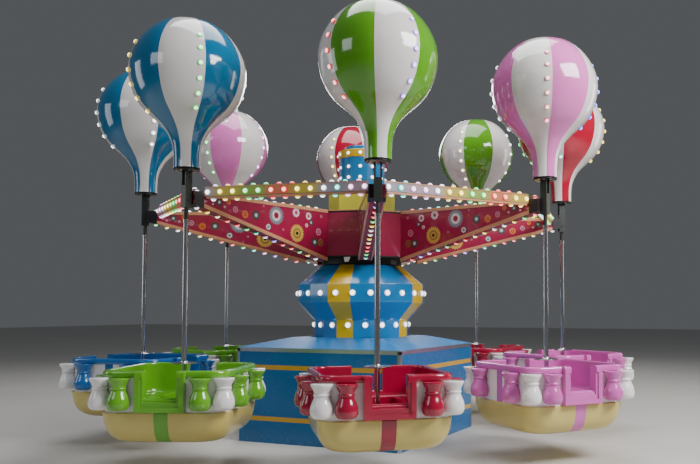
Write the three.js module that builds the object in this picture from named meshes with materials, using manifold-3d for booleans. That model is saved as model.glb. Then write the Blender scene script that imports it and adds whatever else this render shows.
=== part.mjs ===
// Samba balloon ride: a square base, a lifting column, a turning eight-arm head,
// and eight tubs that hang on chrome poles under eight balloons.
// Millimetres, +Z up. The origin is the middle of the base's underside.
// Plan angles run from -Y towards +X, so a radius r at angle a is (r sin a, -r cos a).

import * as THREE from 'three';
import { mergeVertices } from 'three/addons/utils/BufferGeometryUtils.js';
import Module from 'manifold-3d';

const wasm = await Module();
wasm.setup();

// Driving dimensions

const DEGREE = Math.PI / 180;
const GAP = 0.3;                    // between pieces that rest on or butt against each other

const SEATS = 8;                    // arms, balloons, poles and tubs
const STEP = 360 / SEATS;           // plan angle from one arm to the next
const FIRST_ARM = 32.06;            // plan angle of arm 1
const MAST_RADIUS = 3000;           // ride axis to pole axis

// Base housing
const BASE_HALF = 1227;
const BASE_PANEL_TOP = 1245;
const BASE_EDGE_TOP = 1259;
const BASE_CROWN_TOP = 1384;        // where the barrel stands
const BASE_CROWN_HALF = 700;
const BASE_PANEL_THICK = 40;
const BASE_TOP_THICK = 30;
const BASE_TOP_HOLE_HALF = 600;
const BASE_FLOOR_THICK = 80;

// Barrel around the column, as radius and height pairs, bottom to top
const BARREL_SIDES = 18;
const BARREL_OUTLINE = [[680, 1384.3], [680, 1624], [910, 1867], [910, 2117], [580, 2390]];
const BARREL_WALL = 25;
const BARREL_TURN = -0.7;           // plan angle of a corner between two staves

// Telescoping square column
const COLUMN_HALF = 280;
const COLUMN_WALL = 20;
const COLUMN_TOP = 2400;
const SLIDE_CLEARANCE = 6;
const LIFT_FOOT = 420;              // underside of the sliding column when it is down
const TURNTABLE_RADIUS = 560;
const TURNTABLE_TOP = 2478;

// Turning hub
const ARM_WIDTH = 180;
const ARM_ROOT = 795;               // hub axis to the arm's inner end
const HUB_PLATE_THICK = 20;
const HUB_TOP = 3105;
const HUB_CORE_RADIUS = 300;
const HUB_PANEL_THICK = 20;

// Eight-sided yellow casing on the hub, measured to the middle of its sides
const FASCIA_HALF = 440;
const FASCIA_WALL = 30;
const FASCIA_TOP = 3500;
const FASCIA_HOLE_HALF = 345;       // the crown stands through it

// Crown on the hub
const CROWN_SIDES = 24;
const CROWN_RADIUS = 330;
const CROWN_DRUM_TOP = 3930;
const CROWN_RING_RADIUS = 340;
const CROWN_RING_TOP = 4042;
const CROWN_CAP_RADIUS = 250;
const CROWN_CAP_TOP = 4110;

// Arms, rim beams and masts
const ARM_TOP = 3120;
const ARM_ROOT_BOTTOM = 2432;
const ARM_TIP_BOTTOM = 2985;
const MAST_HALF = 44;
const MAST_CHEEK = 18;              // two upright cheeks carry the collar
const MAST_BOTTOM = 2930;
const MAST_BLOCK_TOP = 3190;        // the mast is solid up to here
const MAST_TOP = 3360;
const NECK_RADIUS = 25;
const NECK_BOTTOM = 2800;
const COLLAR_RADIUS = 145;
const COLLAR_TOP = 3385;
const RIM_BEAM_BOTTOM = 3060;
const RIM_BEAM_TOP = 3185;
const RIM_BEAM_THICK = 60;
const RIM_BEAM_FACE = 2640;         // ride axis to the middle of a beam's outer face

// Balloons, as radius and height pairs, bottom to top
const BALLOON_SIDES = 16;
const BALLOON_OUTLINE = [
  [150, 3385.3], [154, 3560], [193, 3727], [264, 3838], [489, 4051], [577, 4179],
  [631, 4325], [650, 4490], [619, 4666], [490, 4888], [302, 5042],
];
const BALLOON_TOP = 5093;

// Poles, handwheels and the flanges that the tubs turn on
const POLE_RADIUS = 30;
const POLE_SIDES = 12;
const FLANGE_RADIUS = 110;
const FLANGE_THICK = 14;
const WHEEL_RADIUS = 150;
const WHEEL_THICK = 24;
const WHEEL_MIDDLE = 1162;

// Tubs: half widths of the rounded square hull, bottom to top
const TUB_BOTTOM = 362.3;
const TUB_CREAM_TOP = 690;
const TUB_WALL_HALF = 665;
const TUB_RIM_HALF = 690;
const TUB_RIM_BOTTOM = 1058;
const TUB_RIM_TOP = 1130;
const TUB_CORNER = 200;
const TUB_HULL = [[505, TUB_BOTTOM], [560, 378], [607, 415], [645, 478], [670, 565], [684, TUB_CREAM_TOP]];
const TUB_CABIN_HALF = 625;
const TUB_CABIN_CORNER = 180;
const TUB_SEAT_TOP = 780;
const TUB_WELL_HALF = 290;          // between the two benches
const TUB_WELL_LENGTH_HALF = 590;
const TUB_FLOOR = 450;
const TUB_HOLE_RADIUS = 38;         // in the floor, around the pole
const ENTRY_HALF = 178;
const ENTRY_SILL = 830;
const ENTRY_FRAME_HALF = 260;
const ENTRY_FRAME_FACE = 745;
const ENTRY_FRAME_BOTTOM = 700;

// Plan angle of one entry of each tub, as the free tubs came to rest
const TUB_TURNS = [38, 50.7, 59.5, -3.7, 38, 68.3, 95.5, 21.7];

// Sandbag ornaments around each tub, as corner radius and height pairs
const BAG_SIDES = 6;
const BAG_OUTLINE = [[98, 722], [115, 796], [82, 935], [110, 1054]];
const BAG_REACH = 728;              // pole axis to the row of bags on a side
const BAG_CORNER_REACH = 928;       // pole axis to a corner bag
const BAG_ALONG_ENTRY = 428;        // from the middle of an entry side to each bag
const BAG_ALONG_CLOSED = 347;       // the same on a side without an entry

// Shape helpers

function turned(profile, sides, startAngle = 0) {
  // A body of revolution about Z with flat facets, its first corner at startAngle
  const points = profile.map(([radius, height]) => new THREE.Vector2(radius, height));
  const geometry = new THREE.LatheGeometry(points, sides, startAngle * DEGREE);
  return geometry.rotateX(Math.PI / 2);
}

function solidTurned(outline, sides, startAngle = 0) {
  const bottom = [0, outline[0][1]];
  const top = [0, outline[outline.length - 1][1]];
  return turned([bottom, ...outline, top], sides, startAngle);
}

function ringTurned(outline, sides, startAngle = 0) {
  return turned([...outline, outline[0]], sides, startAngle);
}

function block(x0, x1, y0, y1, z0, z1) {
  const geometry = new THREE.BoxGeometry(x1 - x0, y1 - y0, z1 - z0);
  return geometry.translate((x0 + x1) / 2, (y0 + y1) / 2, (z0 + z1) / 2);
}

function plate(outline, z0, z1) {
  const shape = new THREE.Shape(outline.map(([x, y]) => new THREE.Vector2(x, y)));
  const geometry = new THREE.ExtrudeGeometry(shape, { depth: z1 - z0, bevelEnabled: false });
  return geometry.translate(0, 0, z0);
}

function polar(radius, angle, across = 0) {
  // A plan point at a radius and angle, moved across the radius towards larger angles
  const s = Math.sin(angle * DEGREE);
  const c = Math.cos(angle * DEGREE);
  return [radius * s + across * c, -radius * c + across * s];
}

function roundedSquare(half, corner, steps = 2) {
  const outline = [];
  for (let quarter = 0; quarter < 4; quarter++) {
    const [cx, cy] = polar((half - corner) * Math.SQRT2, 45 + 90 * quarter);
    for (let i = 0; i <= steps; i++) {
      const [dx, dy] = polar(corner, 90 * quarter + (90 * i) / steps);
      outline.push([cx + dx, cy + dy]);
    }
  }
  return outline;
}

function loft(rings) {
  // A closed body through equal-count outlines, each given with its height
  const count = rings[0].outline.length;
  const vertices = [];
  const indices = [];
  for (const { outline, z } of rings) {
    for (const [x, y] of outline) vertices.push(x, y, z);
  }
  for (let level = 0; level < rings.length - 1; level++) {
    for (let i = 0; i < count; i++) {
      const a = level * count + i;
      const b = level * count + ((i + 1) % count);
      indices.push(a, b, b + count, a, b + count, a + count);
    }
  }
  const top = (rings.length - 1) * count;
  for (let i = 1; i < count - 1; i++) {
    indices.push(0, i + 1, i);
    indices.push(top, top + i, top + i + 1);
  }
  const geometry = new THREE.BufferGeometry();
  geometry.setAttribute('position', new THREE.Float32BufferAttribute(vertices, 3));
  geometry.setIndex(indices);
  return geometry;
}

function toSolid(geometry) {
  const bare = geometry.clone();
  bare.deleteAttribute('normal');
  bare.deleteAttribute('uv');
  const welded = mergeVertices(bare, 0.001);
  return new wasm.Manifold(new wasm.Mesh({
    numProp: 3,
    vertProperties: new Float32Array(welded.attributes.position.array),
    triVerts: new Uint32Array(welded.index.array),
  }));
}

function toGeometry(solid) {
  const mesh = solid.getMesh();
  const geometry = new THREE.BufferGeometry();
  geometry.setAttribute('position', new THREE.BufferAttribute(mesh.vertProperties, 3));
  geometry.setIndex(new THREE.BufferAttribute(mesh.triVerts, 1));
  return geometry;
}

// Colours and finishes

function paint(color, roughness = 0.3, metalness = 0) {
  return new THREE.MeshStandardMaterial({ color, roughness, metalness });
}

const BLUE = paint(0x1f7fc4);
const MAROON = paint(0x8c1230);
const YELLOW = paint(0xf0b800);
const CREAM = paint(0xd9cf9a, 0.4);
const SILVER = paint(0xc4c8cc, 0.35, 0.8);
const DARK_STEEL = paint(0x2a2f2e, 0.5, 0.4);
const CHROME = paint(0xd8dadc, 0.1, 1);
const BALLOON_COLOURS = [0x5aa520, 0xd070c0, 0xc41624, 0x5aa520, 0xc41624, 0xd070c0, 0x1f7fc4, 0x1f7fc4];
const TUB_COLOURS = [0xc41624, 0xe060b0, 0xe060b0, 0xc41624, 0x1f7fc4, 0x5fb81c, 0x1f7fc4, 0x5fb81c];

function piece(name, geometry, material) {
  const mesh = new THREE.Mesh(geometry, material);
  mesh.name = name;
  return mesh;
}

// Base housing

function baseFloor() {
  const half = BASE_HALF - BASE_PANEL_THICK - GAP;
  return block(-half, half, -half, half, 0, BASE_FLOOR_THICK);
}

function baseTop() {
  // A hipped cover: a square edge, four slopes and a square hole under the barrel
  const corner = Math.SQRT2;
  const outline = [
    [(BASE_HALF - BASE_PANEL_THICK) * corner, BASE_PANEL_TOP + GAP],
    [BASE_HALF * corner, BASE_PANEL_TOP + GAP],
    [BASE_HALF * corner, BASE_EDGE_TOP],
    [BASE_CROWN_HALF * corner, BASE_CROWN_TOP],
    [BASE_TOP_HOLE_HALF * corner, BASE_CROWN_TOP],
    [BASE_TOP_HOLE_HALF * corner, BASE_CROWN_TOP - BASE_TOP_THICK],
    [BASE_CROWN_HALF * corner, BASE_CROWN_TOP - BASE_TOP_THICK],
  ];
  return ringTurned(outline, 4, 45);
}

function barrelShell() {
  const inner = BARREL_OUTLINE.map(([radius, height]) => [radius - BARREL_WALL, height]).reverse();
  return ringTurned([...BARREL_OUTLINE, ...inner], BARREL_SIDES, BARREL_TURN);
}

function squareTube(half, wall, z0, z1) {
  const corner = Math.SQRT2;
  const outline = [
    [(half - wall) * corner, z0],
    [half * corner, z0],
    [half * corner, z1],
    [(half - wall) * corner, z1],
  ];
  return ringTurned(outline, 4, 45);
}

const base = new THREE.Group();
base.add(piece('base_floor', baseFloor(), DARK_STEEL));
base.add(piece('base_housing', squareTube(BASE_HALF, BASE_PANEL_THICK, 0, BASE_PANEL_TOP), BLUE));
base.add(piece('base_top', baseTop(), BLUE));
base.add(piece('barrel_shell', barrelShell(), BLUE));
const guide = squareTube(COLUMN_HALF, COLUMN_WALL, BASE_FLOOR_THICK + GAP, COLUMN_TOP);
base.add(piece('outer_column', guide, DARK_STEEL));

// Lifting column and turntable

const lift = new THREE.Group();
const slideHalf = COLUMN_HALF - COLUMN_WALL - SLIDE_CLEARANCE;
const turntableBottom = COLUMN_TOP + GAP;
lift.add(piece('lift_column', squareTube(slideHalf, COLUMN_WALL, LIFT_FOOT, turntableBottom - GAP), SILVER));
const turntableOutline = [[TURNTABLE_RADIUS, turntableBottom], [TURNTABLE_RADIUS, TURNTABLE_TOP]];
lift.add(piece('turntable', solidTurned(turntableOutline, CROWN_SIDES), DARK_STEEL));

// Turning hub and crown

function hubOutline(inset = 0) {
  // Sixteen corners: a short flat at each arm and a long one between arms
  const outline = [];
  for (let i = 0; i < SEATS; i++) {
    const angle = FIRST_ARM + STEP * i;
    outline.push(polar(ARM_ROOT - GAP - inset, angle, -ARM_WIDTH / 2));
    outline.push(polar(ARM_ROOT - GAP - inset, angle, ARM_WIDTH / 2));
  }
  return outline;
}

function hubCore() {
  const bottom = TURNTABLE_TOP + GAP;
  const lower = toSolid(plate(hubOutline(), bottom, bottom + HUB_PLATE_THICK));
  const upper = toSolid(plate(hubOutline(), HUB_TOP - HUB_PLATE_THICK, HUB_TOP));
  const stemOutline = [[HUB_CORE_RADIUS, bottom], [HUB_CORE_RADIUS, HUB_TOP]];
  const stem = toSolid(solidTurned(stemOutline, CROWN_SIDES));
  return toGeometry(lower.add(upper).add(stem));
}

function hubDrum() {
  // The closed side wall between the two hub plates
  const bottom = TURNTABLE_TOP + HUB_PLATE_THICK + 2 * GAP;
  const top = HUB_TOP - HUB_PLATE_THICK - GAP;
  const inner = hubOutline(HUB_PANEL_THICK);
  const wall = toSolid(plate(hubOutline(), bottom, top));
  return toGeometry(wall.subtract(toSolid(plate(inner, bottom - 1, top + 1))));
}

function hubFascia() {
  // A casing with an inward lip at its top; its corners point along the arms
  const inner = FASCIA_HALF - FASCIA_WALL;
  const outline = [
    [inner, HUB_TOP + GAP],
    [FASCIA_HALF, HUB_TOP + GAP],
    [FASCIA_HALF, FASCIA_TOP],
    [FASCIA_HOLE_HALF, FASCIA_TOP],
    [FASCIA_HOLE_HALF, FASCIA_TOP - FASCIA_WALL],
    [inner, FASCIA_TOP - FASCIA_WALL],
  ];
  const corner = 1 / Math.cos((STEP / 2) * DEGREE);
  return ringTurned(outline.map(([radius, height]) => [radius * corner, height]), SEATS, FIRST_ARM);
}

function crown() {
  const outline = [
    [CROWN_RADIUS, HUB_TOP + GAP],
    [CROWN_RADIUS, CROWN_DRUM_TOP],
    [CROWN_RING_RADIUS, CROWN_DRUM_TOP],
    [CROWN_RING_RADIUS, CROWN_RING_TOP],
    [CROWN_CAP_RADIUS, CROWN_RING_TOP],
    [CROWN_CAP_RADIUS, CROWN_CAP_TOP],
  ];
  return solidTurned(outline, CROWN_SIDES);
}

const head = new THREE.Group();
head.add(piece('hub_core', hubCore(), DARK_STEEL));
head.add(piece('hub_drum', hubDrum(), MAROON));
head.add(piece('hub_fascia', hubFascia(), YELLOW));
head.add(piece('crown', crown(), BLUE));

// Arms with their masts, rim beams and poles. Each is drawn at plan angle 0, out along -Y.

function drum(radius, z0, z1, sides) {
  return solidTurned([[radius, z0], [radius, z1]], sides);
}

function arm() {
  // A tapered box beam with the mast, its neck, its cheeks and the balloon's collar welded to its tip
  const tip = MAST_RADIUS - MAST_HALF + 1;
  const side = [[ARM_ROOT, ARM_ROOT_BOTTOM], [tip, ARM_TIP_BOTTOM], [tip, ARM_TOP], [ARM_ROOT, ARM_TOP]];
  const lying = plate(side, -ARM_WIDTH / 2, ARM_WIDTH / 2);
  const outward = new THREE.Vector3(0, -1, 0);
  const up = new THREE.Vector3(0, 0, 1);
  const across = new THREE.Vector3(-1, 0, 0);
  const beam = lying.applyMatrix4(new THREE.Matrix4().makeBasis(outward, up, across));
  const mastParts = [
    block(-MAST_HALF, MAST_HALF, -MAST_HALF, MAST_HALF, MAST_BOTTOM, MAST_BLOCK_TOP),
    block(-MAST_HALF, MAST_CHEEK - MAST_HALF, -MAST_HALF, MAST_HALF, MAST_BLOCK_TOP - 1, MAST_TOP),
    block(MAST_HALF - MAST_CHEEK, MAST_HALF, -MAST_HALF, MAST_HALF, MAST_BLOCK_TOP - 1, MAST_TOP),
    drum(NECK_RADIUS, NECK_BOTTOM, MAST_BOTTOM + 1, POLE_SIDES),
    drum(COLLAR_RADIUS, MAST_TOP - 1, COLLAR_TOP, BALLOON_SIDES),
  ];
  let solid = toSolid(beam);
  for (const part of mastParts) solid = solid.add(toSolid(part.translate(0, -MAST_RADIUS, 0)));
  return toGeometry(solid);
}

function rimBeam() {
  // Runs between the facing sides of two arms, a little short of their masts, drawn midway between them
  const half = (STEP / 2) * DEGREE;
  const innerFace = RIM_BEAM_FACE - RIM_BEAM_THICK;
  const side = ARM_WIDTH / 2 + GAP;
  const endAt = (distance) => distance * Math.tan(half) - side / Math.cos(half);
  const outline = [
    [-endAt(RIM_BEAM_FACE), -RIM_BEAM_FACE],
    [endAt(RIM_BEAM_FACE), -RIM_BEAM_FACE],
    [endAt(innerFace), -innerFace],
    [-endAt(innerFace), -innerFace],
  ];
  return plate(outline, RIM_BEAM_BOTTOM, RIM_BEAM_TOP);
}

function hangerPole() {
  // The pole with the flange that carries the tub and the fixed handwheel
  const wheelBottom = WHEEL_MIDDLE - WHEEL_THICK / 2;
  const wheelTop = WHEEL_MIDDLE + WHEEL_THICK / 2;
  const flangeTop = TUB_BOTTOM - GAP;
  const outline = [
    [FLANGE_RADIUS, flangeTop - FLANGE_THICK],
    [FLANGE_RADIUS, flangeTop],
    [POLE_RADIUS, flangeTop],
    [POLE_RADIUS, wheelBottom],
    [WHEEL_RADIUS, wheelBottom],
    [WHEEL_RADIUS, wheelTop],
    [POLE_RADIUS, wheelTop],
    [POLE_RADIUS, NECK_BOTTOM - GAP],
  ];
  return solidTurned(outline, POLE_SIDES);
}

function balloon() {
  return turned([[0, BALLOON_OUTLINE[0][1]], ...BALLOON_OUTLINE, [0, BALLOON_TOP]], BALLOON_SIDES);
}

function atMast(index, turn, mesh) {
  const place = new THREE.Group();
  const [x, y] = polar(MAST_RADIUS, FIRST_ARM + STEP * index);
  place.position.set(x, y, 0);
  place.rotation.z = turn * DEGREE;
  place.add(mesh);
  return place;
}

function atAngle(angle, mesh) {
  mesh.rotation.z = angle * DEGREE;
  return mesh;
}

for (let i = 0; i < SEATS; i++) {
  const angle = FIRST_ARM + STEP * i;
  const number = i + 1;
  head.add(atAngle(angle, piece(`arm_${number}`, arm(), MAROON)));
  head.add(atAngle(angle + STEP / 2, piece(`rim_beam_${number}`, rimBeam(), CREAM)));
  head.add(atMast(i, angle, piece(`hanger_pole_${number}`, hangerPole(), CHROME)));
  head.add(atMast(i, angle, piece(`balloon_${number}`, balloon(), paint(BALLOON_COLOURS[i], 0.15))));
}

// Tubs

function tubHull() {
  const rings = TUB_HULL.map(([half, z]) => ({ outline: roundedSquare(half, TUB_CORNER), z }));
  const wall = roundedSquare(TUB_WALL_HALF, TUB_CORNER);
  const rim = roundedSquare(TUB_RIM_HALF, TUB_CORNER);
  rings.push({ outline: wall, z: TUB_CREAM_TOP });
  rings.push({ outline: wall, z: TUB_RIM_BOTTOM });
  rings.push({ outline: rim, z: TUB_RIM_BOTTOM });
  rings.push({ outline: rim, z: TUB_RIM_TOP });
  return toSolid(loft(rings));
}

function tubShape() {
  const above = TUB_RIM_TOP + 10;
  let tub = tubHull();
  const frames = block(
    -ENTRY_FRAME_HALF, ENTRY_FRAME_HALF, -ENTRY_FRAME_FACE, ENTRY_FRAME_FACE, ENTRY_FRAME_BOTTOM, TUB_RIM_TOP,
  );
  tub = tub.add(toSolid(frames));
  for (const bag of sandbags()) tub = tub.add(bag);
  const cabin = roundedSquare(TUB_CABIN_HALF, TUB_CABIN_CORNER);
  const cuts = [
    plate(cabin, TUB_SEAT_TOP, above),
    block(
      -TUB_WELL_HALF, TUB_WELL_HALF, -TUB_WELL_LENGTH_HALF, TUB_WELL_LENGTH_HALF, TUB_FLOOR, TUB_SEAT_TOP + 1,
    ),
    drum(TUB_HOLE_RADIUS, TUB_BOTTOM - 1, TUB_FLOOR + 1, POLE_SIDES),
    block(-ENTRY_HALF, ENTRY_HALF, -ENTRY_FRAME_FACE - 1, ENTRY_FRAME_FACE + 1, ENTRY_SILL, above),
  ];
  for (const cut of cuts) tub = tub.subtract(toSolid(cut));
  return toGeometry(tub);
}

function sandbags() {
  // Two bags on each side and one at each corner, moulded a little into the wall
  const bag = toSolid(solidTurned(BAG_OUTLINE, BAG_SIDES, 180 / BAG_SIDES));
  const bags = [];
  for (let quarter = 0; quarter < 4; quarter++) {
    const turn = [0, 0, 90 * quarter];
    const along = quarter % 2 === 0 ? BAG_ALONG_ENTRY : BAG_ALONG_CLOSED;
    bags.push(bag.translate([-along, -BAG_REACH, 0]).rotate(turn));
    bags.push(bag.translate([along, -BAG_REACH, 0]).rotate(turn));
    bags.push(bag.translate([0, -BAG_CORNER_REACH, 0]).rotate([0, 0, 45 + 90 * quarter]));
  }
  return bags;
}

const tubs = new THREE.Group();
for (let i = 0; i < SEATS; i++) {
  const colour = paint(TUB_COLOURS[i], 0.2);
  tubs.add(atMast(i, TUB_TURNS[i], piece(`tub_${i + 1}`, tubShape(), colour)));
}

const ride = new THREE.Group();
ride.add(base, lift, head, tubs);

export default ride;
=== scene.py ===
# %% [markdown]
# # A samba balloon ride
#
# Eight tubs hang on chrome poles under eight fibreglass balloons, and a lifting, turning head carries
# them round a square base. The frame that is loaded here already holds every part at its real size, so
# each cell below only dresses a part, or stands a finer shape in its place, in metres.

# %% Load the frame
import math
from bisect import bisect_left

import bmesh
import bpy
from mathutils import Matrix, Vector


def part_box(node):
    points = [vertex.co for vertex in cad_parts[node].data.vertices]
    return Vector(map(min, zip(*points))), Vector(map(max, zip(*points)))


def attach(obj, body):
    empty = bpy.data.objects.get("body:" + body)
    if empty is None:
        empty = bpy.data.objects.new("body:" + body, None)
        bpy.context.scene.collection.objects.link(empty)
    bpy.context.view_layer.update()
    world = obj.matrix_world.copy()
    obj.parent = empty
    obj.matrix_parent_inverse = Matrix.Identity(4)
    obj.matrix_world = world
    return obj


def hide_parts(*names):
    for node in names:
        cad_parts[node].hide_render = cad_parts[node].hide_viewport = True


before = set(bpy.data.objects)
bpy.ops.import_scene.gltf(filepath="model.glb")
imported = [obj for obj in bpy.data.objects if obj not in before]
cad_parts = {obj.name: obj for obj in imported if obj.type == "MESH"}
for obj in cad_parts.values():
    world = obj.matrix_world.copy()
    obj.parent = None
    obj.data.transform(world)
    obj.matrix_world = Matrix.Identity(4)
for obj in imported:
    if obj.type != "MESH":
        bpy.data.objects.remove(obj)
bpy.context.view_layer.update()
SEATS = 8
STEP = 360 / SEATS

# %% [markdown]
# The poles say where everything else goes. Plan angles run from -Y towards +X, as in the frame, so a
# helper that turns a thing drawn out along -Y is all that the eight-fold parts need.


# %% Places taken from the frame
def middle(node):
    low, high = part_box(node)
    return (low + high) / 2


def turn(angle):
    return Matrix.Rotation(math.radians(angle), 4, "Z")


MASTS = [middle(f"hanger_pole_{seat + 1}") for seat in range(SEATS)]
MAST_RADIUS = math.hypot(MASTS[0].x, MASTS[0].y)
FIRST_ARM = math.degrees(math.atan2(MASTS[0].x, -MASTS[0].y))


def at_mast(seat, angle):
    return Matrix.Translation((MASTS[seat].x, MASTS[seat].y, 0)) @ turn(angle)


def arm_angle(seat):
    return FIRST_ARM + STEP * seat


print(f"mast circle {MAST_RADIUS:.3f} m, first arm at {FIRST_ARM:.2f} degrees")

# %% [markdown]
# Colours are written as the sRGB values a painter would match by eye, and turned into the linear
# values that a shader works with.


# %% Colours
def srgb(code):
    channels = [int(code[i:i + 2], 16) / 255 for i in (0, 2, 4)]
    linear = [c / 12.92 if c <= 0.04045 else ((c + 0.055) / 1.055) ** 2.4 for c in channels]
    return (*linear, 1.0)


def shade(colour, factor):
    return (*[min(1.0, c * factor) for c in colour[:3]], 1.0)


# %% [markdown]
# A shader graph reads better as arithmetic. `Wire` wraps one output socket and gives it the usual
# operators, and `Graph.node` makes any node from its type, its settings and its sockets.


# %% Shader graphs as expressions
class Wire:
    def __init__(self, graph, socket):
        self.graph = graph
        self.socket = socket

    def math(self, operation, first, second):
        return self.graph.node("ShaderNodeMath", {"operation": operation}, (first, second))

    def __add__(self, other):
        return self.math("ADD", self, other)

    __radd__ = __add__

    def __mul__(self, other):
        return self.math("MULTIPLY", self, other)

    def __sub__(self, other):
        return self.math("SUBTRACT", self, other)

    def __rsub__(self, other):
        return self.math("SUBTRACT", other, self)

    def above(self, level, soft=0.0005):
        # 0 below the level and 1 above it, with a short soft edge
        values = {"Value": self, "From Min": level - soft, "From Max": level + soft}
        return self.graph.node("ShaderNodeMapRange", {"interpolation_type": "SMOOTHSTEP"}, values)

    def between(self, low, high):
        return self.above(low) * (1 - self.above(high))


class Graph:
    def __init__(self, name):
        self.material = bpy.data.materials.new(name)
        self.material.use_nodes = True
        self.tree = self.material.node_tree
        self.shader = self.tree.nodes["Principled BSDF"]

    def connect(self, value, socket):
        if isinstance(value, Wire):
            self.tree.links.new(value.socket, socket)
        else:
            socket.default_value = value

    def node(self, kind, settings=None, sockets=(), output=0):
        made = self.tree.nodes.new(kind)
        for key, value in (settings or {}).items():
            setattr(made, key, value)
        pairs = sockets.items() if isinstance(sockets, dict) else enumerate(sockets)
        for key, value in pairs:
            self.connect(value, made.inputs[key])
        return Wire(self, made.outputs[output])

    def mix(self, factor, first, second):
        settings = {"data_type": "RGBA"}
        return self.node("ShaderNodeMix", settings, {0: factor, 6: first, 7: second}, output=2)

    def mottle(self, colour, cloud, dark, light):
        # The colour drifts in clouds between a darker and a lighter shade of itself
        return self.mix(cloud, shade(colour, dark), shade(colour, light))

    def place(self):
        return self.node("ShaderNodeTexCoord", output="Object")

    def noise(self, scale, detail=3.0, roughness=0.5):
        sockets = {"Vector": self.place(), "Scale": scale, "Detail": detail, "Roughness": roughness}
        return self.node("ShaderNodeTexNoise", None, sockets)

    def bump(self, height, distance, strength):
        sockets = {"Height": height, "Distance": distance, "Strength": strength}
        return self.node("ShaderNodeBump", None, sockets)

    def set(self, **values):
        for key, value in values.items():
            self.connect(value, self.shader.inputs[key.replace("_", " ")])
        return self.material


print("graph helpers ready")

# %% [markdown]
# Most of the ride is fibreglass in polished gelcoat. Real gelcoat is never one flat colour: the
# pigment drifts a little, the mould leaves a faint orange peel, and hands and cloths leave patches
# that shine less. Painted sheet steel differs only in its slow waves, where the sheet isn't flat.


# %% Gelcoat and paint
def gelcoat(name, code, rough, drift=0.16):
    graph = Graph(name)
    haze = graph.noise(9.0, 5.0, 0.6)
    return graph.set(
        Base_Color=graph.mottle(srgb(code), graph.noise(2.3, 4.0), 1 - drift, 1 + drift),
        Roughness=rough + (haze - 0.5) * 0.14,
        Normal=graph.bump(graph.noise(55.0, 2.0), 0.002, 0.12),
        Coat_Weight=0.6,
        Coat_Roughness=0.05,
    )


def sheet_paint(name, code, rough, wave, coat=0.3):
    graph = Graph(name)
    dusty = graph.noise(34.0, 8.0, 0.75).above(0.6, 0.08)
    paint = graph.mottle(srgb(code), graph.noise(1.3, 4.0), 0.86, 1.12)
    return graph.set(
        Base_Color=graph.mix(dusty * 0.12, paint, srgb("9a9a94")),
        Roughness=rough + dusty * 0.16,
        Normal=graph.bump(graph.noise(2.2, 1.0), wave, 0.35),
        Coat_Weight=coat,
        Coat_Roughness=0.12,
    )


BLUE_GELCOAT = gelcoat("blue_gelcoat", "2483c4", 0.22)
YELLOW_GELCOAT = gelcoat("yellow_gelcoat", "ebc214", 0.22)
CREAM_GELCOAT = gelcoat("cream_gelcoat", "cebb66", 0.36, 0.1)
WHITE_GELCOAT = gelcoat("white_gelcoat", "f2eeee", 0.14, 0.05)
CRIMSON_PANEL = gelcoat("crimson_panel", "941c40", 0.22)
CRIMSON_UNDERSIDE = sheet_paint("crimson_underside", "8c2440", 0.55, 0.004, 0.0)
CASING_YELLOW = gelcoat("casing_yellow", "f7ea48", 0.22)
COPPER_TRIM = sheet_paint("copper_trim", "c78c66", 0.3, 0.004)
print("gelcoats and paints:", len(bpy.data.materials))

# %% [markdown]
# Metals: black painted steel on the turntable and collars, grey green paint on the masts, aluminium
# edging on the base, and chrome poles. Chrome keeps a fine drawn grain that runs up the tube.


# %% Metals
GRAIN_SCALE = (300, 300, 2)        # fine round a tube, and long up it


def black_steel(name, code, rough):
    graph = Graph(name)
    worn = graph.noise(70.0, 8.0, 0.7).above(0.64, 0.05)
    paint = graph.mottle(srgb(code), graph.noise(5.0), 0.8, 1.3)
    return graph.set(
        Base_Color=graph.mix(worn * 0.5, paint, srgb("6d6a63")),
        Roughness=rough + worn * 0.15,
        Metallic=0.2,
        Normal=graph.bump(graph.noise(160.0, 3.0), 0.001, 0.25),
    )


def bright_metal(name, code, rough, grain_depth=0.2):
    graph = Graph(name)
    stretched = graph.node("ShaderNodeMapping", None, {"Vector": graph.place(), "Scale": GRAIN_SCALE})
    grain = graph.node("ShaderNodeTexNoise", None, {"Vector": stretched, "Scale": 1.0, "Detail": 3.0})
    return graph.set(
        Base_Color=graph.mottle(srgb(code), graph.noise(6.0, 4.0), 0.82, 1.05),
        Metallic=1.0,
        Roughness=rough + grain * 0.08,
        Normal=graph.bump(grain, 0.0004, grain_depth),
    )


BLACK_STEEL = black_steel("black_steel", "171a1a", 0.42)
MAST_GREY = black_steel("mast_grey", "272c28", 0.36)
SOCKET_PAINT = black_steel("socket_paint", "1c1720", 0.5)
CHROME = bright_metal("chrome_tube", "d9dadc", 0.14, 0.02)
ALUMINIUM = bright_metal("aluminium_edging", "c4c9cf", 0.26)
BOLT_STEEL = bright_metal("zinc_bolts", "b9bcbd", 0.3)
print("finishes so far:", len(bpy.data.materials))

# %% [markdown]
# Meshes are gathered piece by piece. A `Shape` takes rings, boxes and domes, each with its own place
# and material, and turns into one object at the end, so that hundreds of lamps stay one mesh.


# %% Gathering meshes
BEVEL_SEGMENTS, BEVEL_ANGLE = 2, 30


def link(name, data):
    made = bpy.data.objects.new(name, data)
    bpy.context.collection.objects.link(made)
    return made


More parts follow.
